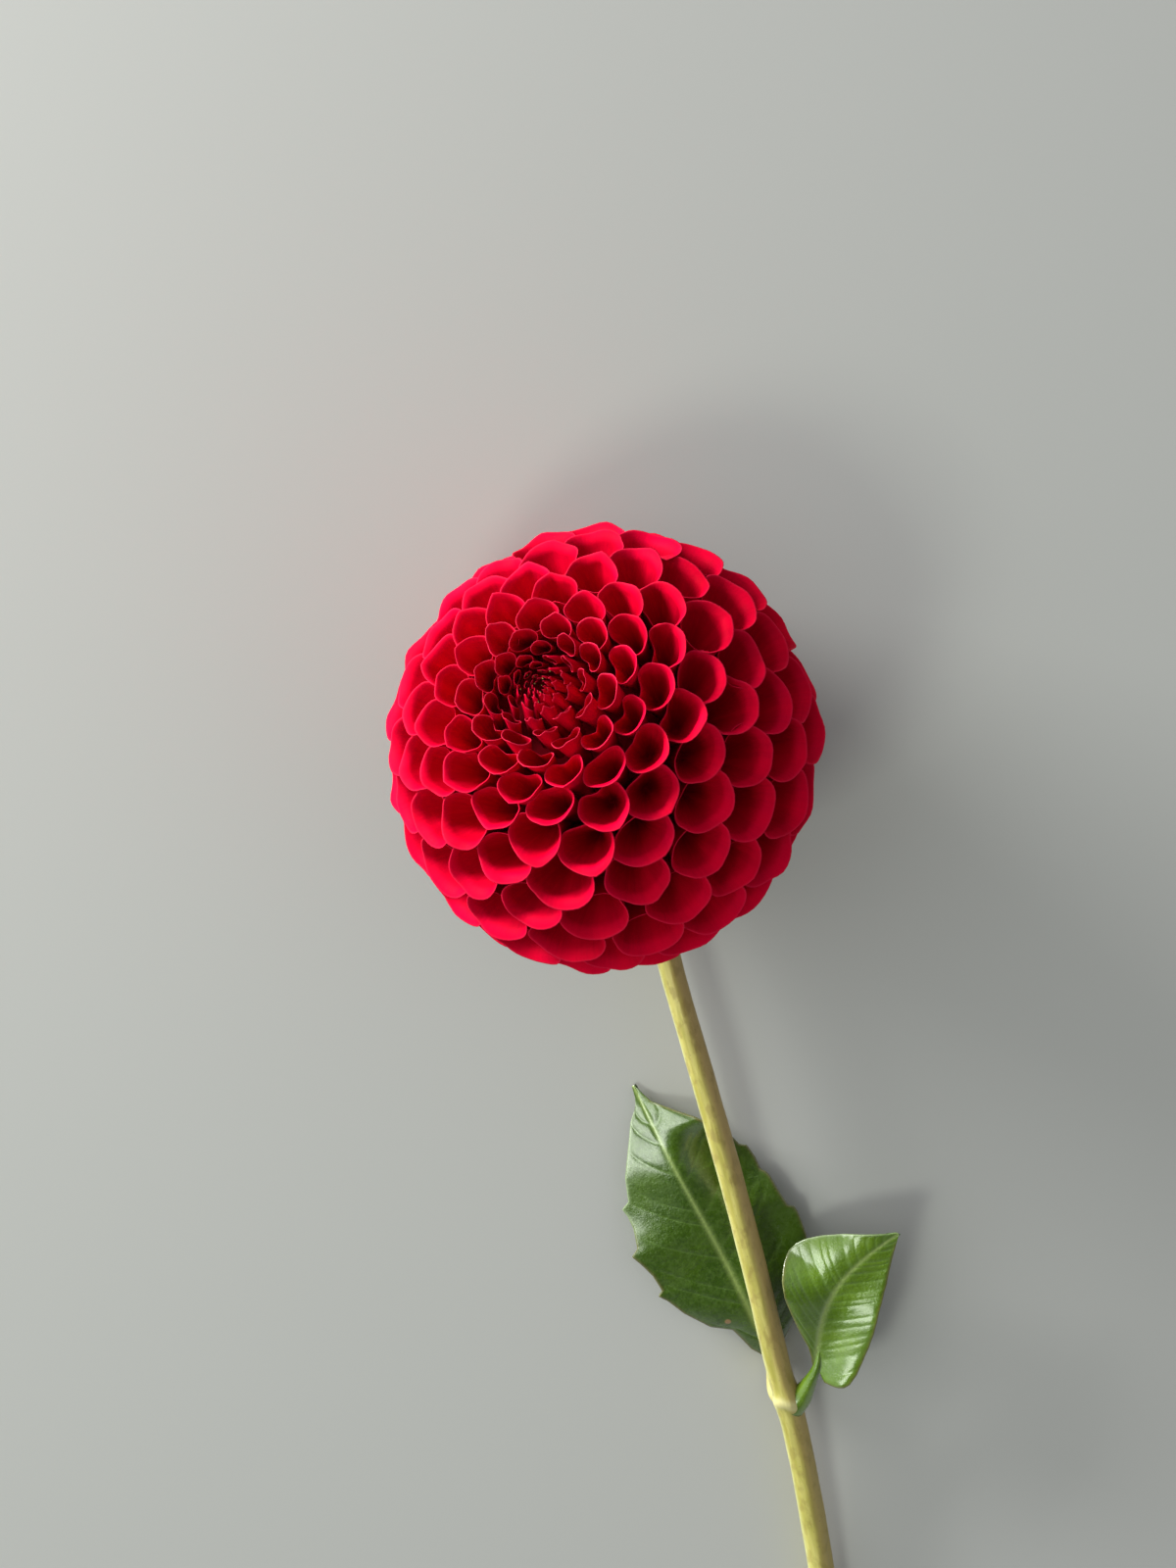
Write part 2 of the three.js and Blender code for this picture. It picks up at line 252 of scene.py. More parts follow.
def floret_frame(angle, number):
    """Place, directions, size and form of one floret, in the bloom's own frame (eye on +Z)."""
    turn = math.radians(number * GOLDEN_ANGLE + SPIRAL_TURN + rng.normal(0, TURN_SPREAD))
    across = np.array([math.cos(turn), math.sin(turn), 0.0])
    outward = across * math.sin(angle) + np.array([0.0, 0.0, math.cos(angle)])
    size = spacing_at(angle)
    seat = ball_surface(angle) - MOUTH_DEPTH * size + SWELL * (outward @ SWELL_TOWARD) ** 4
    mouth = outward * (seat + rng.normal(0, DEPTH_SPREAD) * size)
    side = np.array([-math.sin(turn), math.cos(turn), 0.0])
    tube = unit(mouth + np.array([0, 0, TUBE_ORIGIN]))
    side, away = turned(side, unit(np.cross(side, tube)), math.radians(rng.normal(0, TWIST_SPREAD)))
    form = {key: np.interp(math.degrees(angle), FORM_ANGLES, row) for key, row in FORM.items()}
    lean_spread = LEAN_SPREAD_FRONT if angle < FRONT_ANGLE else LEAN_SPREAD_BACK
    tube, away = turned(tube, away, -math.radians(form["lean"] + rng.normal(0, lean_spread)))
    place = {"mouth": mouth, "tube": tube, "side": side, "away": away, "size": size}
    return place | {"angle": angle} | form


def floret_frames():
    angles, inner_count = floret_angles()
    return [floret_frame(angle, n - inner_count) for n, angle in enumerate(angles)]


# Bloom: the form of one floret

# Beyond this angle the florets are open cups, nearer the eye they are buds of fewer points
MATURE_ANGLE = 24
FLORET_SIDES = 36
BUD_SIDES = 24
# Rings as shares of the way from the root to the rim outside, then from the rim down the cup
FLORET_OUTER = [0, 0.3, 0.55, 0.72, 0.82, 0.88, 0.92, 0.96, 0.985]
FLORET_INNER = [0.02, 0.045, 0.075, 0.11, 0.15, 0.2, 0.27, 0.35, 0.44, 0.54, 0.65, 0.77, 0.9]
BUD_OUTER = [0, 0.4, 0.7, 0.86, 0.95]
BUD_INNER = [0.04, 0.12, 0.25, 0.45, 0.7, 0.92]
# Rings over the rim: drop and inset as shares of the wall, and the strength of the rim's painted highlight
RIM_RINGS = [(0.35, 0.1, 0.45), (0, 0.5, 1.0), (0.35, 0.9, 0.45)]
# Strength of the pale pink painted highlight along the rim
RIM_HIGHLIGHT = 0.45
# What strays from floret to floret, in the order of the draws
STRAYS = ["width", "height", "mouth", "waves_of_3", "waves_of_5", "tone", "tip", "pleats"]
PLEATS = 2.5
# Neighbours share the room between them, as far as this many sizes apart
NEIGHBOUR_REACH = 2.2
SQUEEZE_POWER = 7


def room_round(floret, florets, x, y):
    """Share of a mouth's outline that neighbours on either side leave free, by direction."""
    squeeze = np.ones_like(x)
    for other in florets:
        offset = other["mouth"] - floret["mouth"]
        distance = np.linalg.norm(offset)
        if other is floret or distance > NEIGHBOUR_REACH * max(floret["size"], other["size"]):
            continue
        dx, dy = offset @ floret["side"], offset @ floret["away"]
        flat = math.hypot(dx, dy)
        sideways = abs(dx) / flat
        share = floret["size"] / (floret["size"] + other["size"])
        # A cup may reach far over the one behind it and little over the one nearer the eye
        overlap = 0.35 * (1 - sideways) if dy < 0 else 1.1 * (1 - sideways**2)
        limit = distance * share * (1.0 + overlap)
        reach = (x * dx + y * dy) / flat
        squeeze += np.where(reach > 0, (np.maximum(reach, 0) / limit) ** SQUEEZE_POWER, 0)
    squeeze = squeeze ** (-1 / SQUEEZE_POWER)
    for _ in range(3 * len(x) // 16):
        squeeze = 0.25 * np.roll(squeeze, 1) + 0.5 * squeeze + 0.25 * np.roll(squeeze, -1)
    return squeeze


class FloretTube:
    """One rolled floret: its mouth and its rim, with one value for each side, and its rings."""

    def __init__(self, floret, florets):
        self.floret = floret
        self.mature = floret["angle"] > math.radians(MATURE_ANGLE)
        self.sides = FLORET_SIDES if self.mature else BUD_SIDES
        self.theta = circle(self.sides)
        self.signed = (self.theta + math.pi) % (2 * math.pi) - math.pi
        self.stray = dict(zip(STRAYS, rng.normal(0, 1, len(STRAYS))))
        self.tip = self.signed - 0.16 * self.stray["tip"]
        self.shape_mouth(florets)
        self.shape_rim()
        near_eye = 1 - smoothstep(0.6, 1.0, floret["angle"])
        self.keel = (0.03 + 0.06 * near_eye) * rng.random()
        self.pleat = 0.02 + 0.04 * rng.random()
        size = floret["size"]
        self.length = max(1.75 * size, 5.0)
        self.depth = min(1.3 * size, self.length - 0.6)
        self.wall = np.clip(0.024 * size, 0.05, 0.17)
        self.root = 0.42 - 0.14 * smoothstep(1.8, 2.2, floret["angle"]) if self.mature else 0.55

    def shape_mouth(self, florets):
        """Oval with a cleft on the eye's side, squeezed by the neighbours."""
        floret, stray, theta = self.floret, self.stray, self.theta
        self.width = floret["size"] * floret["width"] * (1 + 0.06 * stray["width"])
        height = floret["size"] * floret["height"] * (1 + 0.09 * stray["height"])
        x = self.width * np.sin(theta) * (1 + 0.03 * stray["mouth"] * np.cos(2 * theta))
        y = height * np.cos(theta) * np.where(np.cos(theta) < 0, 0.88, 1.0)
        cleft = floret["cleft"] * (1 + 0.5 * stray["mouth"]).clip(0.2, 1.7)
        y = y + cleft * height * bump(math.pi - np.abs(self.signed), 0.42)
        squeeze = room_round(floret, florets, x, y)
        self.x, self.y = x * squeeze, y * squeeze

    def shape_rim(self):
        """Height of the rim: the far lip rises to its apex, the inner margin dips."""
        floret, stray, theta, size = self.floret, self.stray, self.theta, self.floret["size"]
        rim = floret["rise"] * size * np.cos(theta)
        rim -= floret["dip"] * size * bump(math.pi - np.abs(self.signed), 0.75)
        rim += floret["apex"] * size * bump(self.tip, 0.3)
        rim += 0.022 * size * np.sin(3 * theta + 3 * stray["waves_of_3"])
        rim += 0.014 * size * np.sin(5 * theta + 3 * stray["waves_of_5"])
        self.rim = rim

    def ring(self, z, inset, narrow=1.0):
        """Points at the heights z, one for each side, moved in by the inset."""
        floret, theta, size = self.floret, self.theta, self.floret["size"]
        grow = np.clip((z + self.length) / self.length, 0, 1.15)
        swell = self.root + (1 - self.root) * grow**1.05
        # The tube is rounder at its root than at its rim
        round_share = (1 - grow.clip(0, 1)) * 0.5
        px = self.x * swell
        py = self.y * swell
        py = py + round_share * (self.width * 0.42 * np.cos(theta) - py)
        roll = floret["roll"] * size
        lip = np.clip((z - self.rim + roll) / roll, 0, 1)
        upper = smoothstep(0.3, 0.85, grow)
        folds = np.abs(np.sin(PLEATS * self.signed + self.stray["pleats"])) - 0.64
        pleats = 1 + self.pleat * folds * upper
        px = px * (1 + 0.08 * lip**3) * pleats
        py = py * (1 + 0.05 * lip**3) * pleats
        outer = np.clip(np.cos(theta), 0, 1)
        flare = floret["flare"] * size * outer**1.3
        py = py + flare * lip**1.5
        py = py + self.keel * size * np.exp(-np.abs(self.tip) / 0.28) * outer * upper
        keep = np.clip(1 - inset / np.maximum(np.hypot(px, py), 1e-6), 0.12, 1) * narrow
        # The flared lip rolls over and down
        z = z - 0.35 * flare * lip**3
        return (
            floret["mouth"]
            + np.outer(px * keep, floret["side"])
            + np.outer(py * keep, floret["away"])
            + np.outer(z, floret["tube"])
        )


def floret_mesh(floret, florets):
    """Points and layers of one rolled floret: outside from root to lip, then inside down the cup."""
    form = FloretTube(floret, florets)
    rim, wall, sides = form.rim, form.wall, form.sides
    outer_shares = FLORET_OUTER if form.mature else BUD_OUTER
    inner_shares = FLORET_INNER if form.mature else BUD_INNER
    floret |= {"sides": sides, "outer_rows": len(outer_shares), "wall": wall}

    # Painted highlight: a pale band along the rim, where the lip catches the light
    def rim_highlight_at(z):
        return RIM_HIGHLIGHT * bump(rim - z, 0.012 * floret["size"] + 0.03)

    rows, rim_light, cup, inset = [], [], [], []
    for share in outer_shares:
        z = -form.length + (rim + form.length) * share
        rows.append(form.ring(z, 0))
        rim_light.append(rim_highlight_at(z))
        cup.append(0.0)
        inset.append(0.0)
    for drop, way_in, rim_lit in RIM_RINGS:
        rows.append(form.ring(rim - drop * wall, way_in * wall))
        rim_light.append(np.full(sides, rim_lit))
        cup.append(0.0)
        inset.append(way_in * wall)
    for share in inner_shares:
        z = rim - (rim + form.depth) * share
        rows.append(form.ring(z, wall, 1 - 0.8 * smoothstep(0.15, 1.1, share)))
        rim_light.append(rim_highlight_at(z))
        cup.append(share)
        inset.append(wall)
    root = floret["mouth"] - form.length * floret["tube"]
    cup_foot = floret["mouth"] - form.depth * floret["tube"]
    points = np.vstack([*rows, root, cup_foot])

    def with_tips(values, at_root, at_foot):
        return np.concatenate([values, [at_root, at_foot]])

    young = 1 - smoothstep(10, 30, math.degrees(floret["angle"]))
    layers = {
        "rim_light": with_tips(np.concatenate(rim_light), 0, 0),
        "cup": with_tips(np.repeat(cup, sides), 0, 1),
        "tone": np.full(len(points), form.stray["tone"]),
        "young": np.full(len(points), young),
        # The crease layer marks the far wall's fold for its painted highlight
        "crease": with_tips(np.tile(bump(form.signed, 0.3), len(rows)), 0, 0),
        "around": with_tips(np.tile(np.abs(form.signed) * form.width, len(rows)), 0, 0),
        "inset": with_tips(np.repeat(inset, sides), 0, wall),
    }
    return points, sleeve_faces(len(rows), sides), layers


# Bloom: the florets settled against each other and joined

# Florets nearer the eye than this neither push nor move
SETTLED_FROM = 18
# Mouths further apart than this many sizes don't touch
SETTLE_REACH = 1.5
# Heights at which a cup is measured, and where the lowest lies as a share of the floret's size
CUP_LEVELS = 28
CUP_FOOT = 0.95
# Room left between two florets, and the longest way that a point is moved
PETAL_GAP = 0.05
LONGEST_PUSH = 3.2
# Height in mm under which petals are pressed on the surface
REST_SOFTNESS = 0.6


def settle(florets, meshes):
    """Moves each floret's margin on the eye's side out of the cups of the florets before it."""
    for j, near in enumerate(florets):
        if near["angle"] < math.radians(SETTLED_FROM):
            continue
        sides = near["sides"]
        axes = np.stack([near["side"], near["away"], near["tube"]])
        inner = meshes[j][0][(near["outer_rows"] + 1) * sides : -2] - near["mouth"]
        local = (inner @ axes.T).reshape(-1, sides, 3)
        # Columns run from seam to seam past the far lip, so that the far wall has no break
        local = np.roll(local, sides // 2, axis=1)
        reach = np.hypot(local[..., 0], local[..., 1])
        levels = np.linspace(-CUP_FOOT * near["size"], local[..., 2].max(), CUP_LEVELS)
        columns = [np.interp(levels, local[::-1, k, 2], reach[::-1, k]) for k in range(sides)]
        wall = np.stack(columns, 1)
        direction = np.arctan2(local[2, :, 0], local[2, :, 1])
        direction[0] = -math.pi
        for i in range(j + 1, len(florets)):
            apart = np.linalg.norm(florets[i]["mouth"] - near["mouth"])
            if apart > SETTLE_REACH * near["size"]:
                continue
            points, _, layers = meshes[i]
            x, y, z = ((points - near["mouth"]) @ axes.T).T
            column = np.interp(np.arctan2(x, y), direction, np.arange(sides))
            level = (z - levels[0]) / (levels[1] - levels[0])
            level = np.clip(level, 0, CUP_LEVELS - 1.001)
            a, b = column.astype(int), level.astype(int)
            a2, fa, fb = np.minimum(a + 1, sides - 1), column - a, level - b
            limit = (wall[b, a] * (1 - fa) + wall[b, a2] * fa) * (1 - fb)
            limit += (wall[b + 1, a] * (1 - fa) + wall[b + 1, a2] * fa) * fb
            limit += near["wall"] + layers["inset"] + PETAL_GAP
            out = np.hypot(x, y)
            gap = limit - out
            inside = (y > 0) & (z > levels[0]) & (z < local[0, a, 2])
            inside &= (gap > 0) & (gap < LONGEST_PUSH)
            move = np.where(inside, gap, 0) / np.maximum(out, 0.1)
            points += np.outer(move * x, near["side"]) + np.outer(move * y, near["away"])
    for _, _, layers in meshes:
        layers.pop("inset")


def to_part(points, axis):
    """From the bloom's own frame, with its eye along the axis, into the part's frame."""
    axis = Vector(axis).normalized()
    turn = np.array(Vector((0, 0, 1)).rotation_difference(axis).to_matrix())
    return points @ turn.T + BALL_CENTRE


def rest_on_surface(points):
    """Petals that would reach under the surface lie pressed on it."""
    z, soft = points[:, 2], REST_SOFTNESS
    points[:, 2] = np.where(z < soft, soft * np.exp((np.minimum(z, soft) - soft) / soft), z)
    return points


def join_meshes(name, meshes, axis=PETAL_AXIS, shift=PETAL_SHIFT):
    """One piece of meshes in the bloom's own frame, put in its place in the part."""
    points, faces, layers = [], [], {}
    start = 0
    for part_points, part_faces, part_layers in meshes:
        points.append(part_points)
        faces += [[start + k for k in face] for face in part_faces]
        for key, values in part_layers.items():
            layers.setdefault(key, []).append(values)
        start += len(part_points)
    layers = {key: np.concatenate(values) for key, values in layers.items()}
    points = rest_on_surface(to_part(np.vstack(points), axis) + shift)
    return make_piece(name, points, faces, layers)


# Bloom: what lies between and under the florets

CORE_ROWS = 24
CORE_SIDES = 48
# The core is smaller toward the eye, so that it doesn't cut into the cups, and full at its back
CORE_FRONT_SHARE = 0.72
SPECK_COUNT = 18
SPECK_SPREAD = 0.5
SPECK_SIDES = 8
# Rings of a speck: radius and height as shares of its size
SPECK_RINGS = [(0.5, -1.6), (1.0, -0.3), (0.8, 0.7), (0.35, 1.2)]


def core_mesh():
    """Heart of the ball that shows between the florets, dark as painted shade in the gaps."""
    turn = circle(CORE_SIDES)
    flat_back = -CALYX_SEAT + 0.1
    grid = []
    for a in np.linspace(0.02, math.pi - 0.02, CORE_ROWS):
        share = CORE_FRONT_SHARE + (1 - CORE_FRONT_SHARE) * smoothstep(2.1, 2.6, a)
        radius, height = share * CORE_RADIUS * math.sin(a), share * CORE_HEIGHT * math.cos(a)
        z = np.full(CORE_SIDES, max(height, flat_back))
        grid.append(np.stack([radius * np.cos(turn), radius * np.sin(turn), z], axis=1))
    ends = [[0, 0, CORE_FRONT_SHARE * CORE_HEIGHT], [0, 0, flat_back]]
    faces = [face[::-1] for face in sleeve_faces(CORE_ROWS, CORE_SIDES)]
    return np.vstack([*grid, *ends]), faces, {}


def speck_mesh():
    """Pinch of yellow-green specks between the innermost buds."""
    points, faces, start = [], [], 0
    cos, sin = np.cos(circle(SPECK_SIDES)), np.sin(circle(SPECK_SIDES))
    for k in range(SPECK_COUNT):
        turn = math.radians(k * GOLDEN_ANGLE)
        out = SPECK_SPREAD * math.sqrt(k + 0.4)
        top = ball_surface(out / (BALL_RADIUS * BALL_FLATNESS)) - 0.05
        middle = np.array([out * math.cos(turn), out * math.sin(turn), top])
        size = 0.05 + 0.035 * rng.random()
        for radius, height in SPECK_RINGS:
            ring = np.stack([radius * cos, radius * sin, np.full(SPECK_SIDES, height)], axis=1)
            points.append(middle + size * ring)
        points.append(np.array([middle - [0, 0, 1.8 * size], middle + [0, 0, 1.35 * size]]))
        faces += sleeve_faces(len(SPECK_RINGS), SPECK_SIDES, start)
        start += len(SPECK_RINGS) * SPECK_SIDES + 2
    return np.vstack(points), faces, {}


# Calyx, as radius and height from its seat on the ball; bracts also have a half width

CALYX_PROFILE = [
    (0.4, 0.0), (6.9, 0.0), (7.5, -0.4), (7.2, -1.0), (5.4, -1.8), (3.4, -2.7), (2.3, -3.4),
]
CALYX_SIDES = 56
BRACT_STATIONS = [
    (2.0, -2.1, 1.0), (4.4, -2.6, 1.9), (6.4, -3.5, 2.1), (7.8, -5.0, 1.5), (8.4, -6.8, 0.25),
]
BRACT_COUNT = 7
BRACT_ROWS = 16
BRACT_COLUMNS = 9
BRACT_THICKNESS = 0.35
BRACT_ARCH = 0.5


def bract_mesh(turn):
    """One bract that bends back along the stem, turned round the bloom's axis."""
    across = np.linspace(-1, 1, BRACT_COLUMNS)
    rows = [
        np.stack([np.full(BRACT_COLUMNS, out), half * across, up + BRACT_ARCH * (1 - across**2)], axis=1)
        for out, up, half in curve_points(BRACT_STATIONS, BRACT_ROWS)
    ]
    points, faces = two_faced(np.stack(rows), BRACT_THICKNESS)
    c, s = math.cos(turn), math.sin(turn)
    return points @ np.array([[c, -s, 0], [s, c, 0], [0, 0, 1]]).T, faces


def calyx_mesh():
    """Green disc behind the ball, with its ring of bracts."""
    theta = circle(CALYX_SIDES)
    points = []
    for radius, height in CALYX_PROFILE:
        ripple = radius * (1 + 0.02 * np.cos(BRACT_COUNT * theta))
        ring = [ripple * np.cos(theta), ripple * np.sin(theta), np.full(CALYX_SIDES, height)]
        points.append(np.stack(ring, axis=1))
    points.append(np.array([[0, 0, CALYX_PROFILE[0][1]], [0, 0, CALYX_PROFILE[-1][1]]]))
    faces = [face[::-1] for face in sleeve_faces(len(CALYX_PROFILE), CALYX_SIDES)]
    start = len(CALYX_PROFILE) * CALYX_SIDES + 2
    for k in range(BRACT_COUNT):
        turn = 2 * math.pi * (k + 0.13 + 0.1 * rng.uniform(-1, 1)) / BRACT_COUNT
        bract_points, bract_faces = bract_mesh(turn)
        points.append(bract_points)
        faces += [[start + i for i in face] for face in bract_faces]
        start += len(bract_points)
    return np.vstack(points) - [0, 0, CALYX_SEAT + 0.15], faces, {}


# Stem and leaf stalks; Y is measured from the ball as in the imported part

STEM_POINTS = [
    (4.1, -12.5, 9.9), (4.46, -13.56, 8.74), (5.15, -16.1, 6.2), (4.3, -19.6, 4.9),
    (2.3, -24.2, 4.6), (0.7, -29.5, 5.0), (0.35, -36, 5.5), (0.5, -43, 5.8), (0.8, -52.3, 5.9),
    (1.2, -67, 5.7), (1.25, -82.3, 5.2), (1.1, -98.2, 4.4), (1.3, -103.2, 4.2), (1.0, -114.8, 3.5),
    (0.0, -131.5, 2.65), (-1.5, -149, 2.1), (-3.4, -166, 2.02),
]
STEM_ROWS = 420
STEM_SIDES = 40
STEM_RADIUS = 1.48
# What the radius gains toward the cut, in the calyx and in the neck under it
STEM_GAIN = 0.47
CALYX_GAIN = 0.5
NECK_GAIN = 0.16
NODE_Y = -103.2
# Lumps of the skin: height, wavelength over two pi, count round the stem, phase
STEM_LUMPS = [(0.02, 5.1, 1, 0.3), (0.015, 2.3, 2, 1.7), (0.01, 1.1, 3, 4.0)]
STALK_ROWS = 40
STALK_SIDES = 20
# A stalk's points, then its radius at the stem and under the blade
LARGE_STALK = ([(0.9, -104.2, 3.4), (-0.3, -102.6, 2.9), (-0.2, -100.2, 2.0), (0.5, -96.0, 1.7)], 1.1, 0.5)
SMALL_STALK = (
    [(1.7, -104.0, 4.2), (3.2, -102.7, 4.7), (4.8, -100.3, 5.6), (6.2, -98.0, 6.2), (7.2, -95.4, 6.3)],
    2.0,
    0.4,
)


def stem_mesh():
    """Ridged, slightly lumpy stem with the swollen ring of its node."""
    path = curve_points(STEM_POINTS, STEM_ROWS) + [0, BALL_CENTRE[1], 0]
    theta = circle(STEM_SIDES)
    y = path[:, 1] - BALL_CENTRE[1]
    share = np.linspace(0, 1, STEM_ROWS)
    base = STEM_RADIUS + STEM_GAIN * share
    base += CALYX_GAIN * bump(share, 0.035) + NECK_GAIN * bump(share, 0.13)
    base += 0.2 * bump(y - NODE_Y, 2.4)
    from_node = y[:, None] - NODE_Y - 0.1
    collar = bump(from_node - 0.6 * np.sin(theta + 0.6) - 0.3 * np.sin(3 * theta), 0.95)
    ridges = 1 + 0.018 * np.cos(5 * theta + 1.0) + 0.008 * np.cos(11 * theta)
    lumps = sum(
        height * np.sin(y[:, None] / length + count * theta + phase)
        for height, length, count, phase in STEM_LUMPS
    )
    radius = base[:, None] * ridges + lumps + collar * (0.26 + 0.12 * np.sin(2 * theta + 1.2))
    # The cut's edge is a little worn
    radius[-1] *= 0.97
    points, faces = swept(path, radius)
    # The side layer runs from the lit side (-1) to the far side (+1); the stem material paints its
    # highlight and shade from it
    side = (points[:-2, 0] - np.repeat(path[:, 0], STEM_SIDES)) / np.repeat(base, STEM_SIDES)
    layers = {
        "along": np.concatenate([np.repeat(y, STEM_SIDES), [y[0], y[-1]]]),
        "side": np.concatenate([side, [0, 0]]),
        "node": np.concatenate([collar.reshape(-1), [0, 0]]),
    }
    return points, faces, layers


def stalk_mesh(points, thick, thin):
    """Stalk that thins from the stem to the blade."""
    path = curve_points(points, STALK_ROWS) + [0, BALL_CENTRE[1], 0]
    share = np.linspace(0, 1, STALK_ROWS)
    base = thin + (thick - thin) * (1 - share) ** 1.5
    points, faces = swept(path, np.repeat(base[:, None], STALK_SIDES, axis=1))
    layers = {
        "along": points[:, 1] - BALL_CENTRE[1],
        # A fixed side value gives the stalk little of the stem's painted shade
        "side": np.full(len(points), -0.4),
        "node": np.concatenate([np.repeat(0.8 - 0.5 * share, STALK_SIDES), [0, 0]]),
        "upper": np.ones(len(points)),
    }
    return points, faces, layers


# Leaves: margins are (share of length, half width) with their teeth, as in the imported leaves. The
# spot is a brown mark at a share of the length and mm from the midrib; the small leaf has none,
# so its spot lies off the blade.

LARGE_LEAF = {
    "base": (0.58, -98.8),
    "heading": 101.5,
    "length": 46.1,
    "bow": -1.75,
    "bow_power": 0.9,
    "midrib": 1.2,
    "lobe": 0.0,
    "quilt": 0.04,
    "veins": 10,
    "spot": (0.2, 3.4),
    "left": [
        (0, 0.5), (0.03, 1.2), (0.07, 2.5), (0.12, 3.3), (0.16, 4), (0.2, 6.7), (0.28, 9.3), (0.34, 10.6),
        (0.368, 11.5), (0.38, 10.7), (0.44, 10.9), (0.49, 11.6), (0.523, 12.2), (0.54, 11.0), (0.6, 10.2),
        (0.64, 10.1), (0.664, 10.3), (0.68, 9.0), (0.755, 7.6), (0.81, 5.9), (0.86, 4.3), (0.905, 2.9),
        (0.94, 1.3), (0.965, 0.62), (1, 0.16),
    ],
    "right": [
        (0, 0.5), (0.03, 1.4), (0.07, 3), (0.13, 5.6), (0.2, 7.7), (0.28, 9.4), (0.36, 10.4), (0.44, 10.7),
        (0.462, 10.6), (0.474, 9.9), (0.54, 9.7), (0.58, 9.6), (0.597, 9.4), (0.61, 8.9), (0.65, 9.0),
        (0.69, 8.8), (0.702, 8.0), (0.77, 7.3), (0.82, 6.4), (0.86, 5.2), (0.9, 3.1), (0.94, 1.1),
        (0.965, 0.62), (1, 0.16),
    ],
}
SMALL_LEAF = {
    "base": (6.1, -97.7),
    "heading": 50.6,
    "length": 23.4,
    "bow": 3.0,
    "bow_power": 1.0,
    "midrib": 0.3,
    "lobe": 0.06,
    "quilt": 0.026,
    "veins": 15,
    "spot": (-1.0, 0.0),
    "left": [
        (0, 0.5), (0.05, 0.8), (0.1, 1.4), (0.17, 2.9), (0.26, 4.6), (0.36, 6.5), (0.44, 7.5), (0.52, 8.0),
        (0.59, 8.2), (0.65, 8.0), (0.7, 7.5), (0.77, 6.3), (0.85, 4.5), (0.93, 2.2), (0.97, 0.9), (1, 0.16),
    ],
    "right": [
        (0, 2.0), (0.01, 3.1), (0.02, 3.8), (0.04, 4.6), (0.07, 5.3), (0.13, 6.0), (0.2, 6.4), (0.29, 6.7),
        (0.38, 6.7), (0.46, 6.4), (0.58, 5.7), (0.69, 4.7), (0.8, 3.2), (0.9, 1.7), (1, 0.16),
    ],
}
LEAF_ROWS = 230
LEAF_HALF_COLUMNS = 36
LEAF_THICKNESS = 0.32
# The lowest point of a leaf, the depth of its side veins and midrib, and the slant of the veins
LEAF_FLOOR = 0.06
SIDE_VEIN_DEPTH = 0.035
MIDRIB_DEPTH = 0.05
VEIN_SLANT = 0.66


def soft_floor(x, floor, sharpness):
    """The larger of x and a floor, with the corner between them rounded off."""
    return floor + np.logaddexp(0, (x - floor) * sharpness) / sharpness


def large_height(t, w, c, half):
    """Level under the stem; beyond it a low ridge along the midrib falls to the left and the tip."""
    lift = smoothstep(0.5, 0.7, t)
    near_tip = smoothstep(0.74, 0.86, t)
    level = 2.9 * smoothstep(-0.15, 0.3, t) + 3.0 * np.clip(t - 0.4, 0, 1)
    middle = -np.logaddexp(-2.2 * level, -2.2 * (0.7 + 12.2 * (1 - t))) / 2.2
    left = -0.22 * lift * np.abs(w) - 0.45 * (1 - lift) * np.abs(c) ** 2
    under_stem = 1.9 * lift * smoothstep(0, 0.7, np.abs(c)) + 0.5 * np.abs(c) ** 2
    right = near_tip * 0.2 * np.abs(w) - (1 - near_tip) * under_stem
    wave = 0.22 * np.sin(15 * t + 1.2 * np.sign(c)) * np.abs(c) ** 3
    wave = wave * (1 - 0.8 * smoothstep(0.4, 0.6, t))
    z = middle + (np.where(c > 0, left, right) + wave) * smoothstep(0, 1.5, half)
    return soft_floor(z, 0.45, 6)


def small_height(t, w, c, half):
    """Two halves that rise from the midrib; the left one rolls over, the right one only at its margin."""
    middle = 6.4 + 2.6 * t - 0.5 * t**2
    out, share = np.abs(w), np.abs(c)
    roll = smoothstep(0.35, 0.6, t)
    left = (1 - roll) * (0.22 * out - 1.2 * np.clip(share - 0.6, 0, 1) ** 1.6)
    left = left - 0.42 * roll * soft_floor(out - 2.2, 0, 1.6)
    right = 0.33 * soft_floor(out - 2.7, 0, 1.6) - 4 * np.clip(share - 0.88, 0, 1) ** 1.5
    right = right + 3.6 * np.clip(0.7 - t, 0, 1) ** 2 * smoothstep(0.0, 0.9, share)
    wave = 0.2 * np.sin(13 * t + np.where(c > 0, 0.4, 2.0)) * share**2
    return middle + (np.where(c > 0, left, right) + wave) * smoothstep(0, 5, half)


def vein_distance(leaf, t, w, c):
    """Distance in mm to the nearest side vein; they leave the midrib at a slant toward the tip."""
    slant = t - VEIN_SLANT * np.abs(w) / leaf["length"] - 0.05 * np.abs(c) ** 2
    slant = slant + np.where(c > 0, 0, 0.045)
    phase = slant * leaf["veins"] + 0.2 * np.sin(23 * slant + np.where(c > 0, 0.0, 1.9))
    phase = phase + 0.16 * np.sin(41 * slant + np.where(c > 0, 2.0, 0.5))
    return np.abs(phase - np.round(phase)) / leaf["veins"] * leaf["length"]


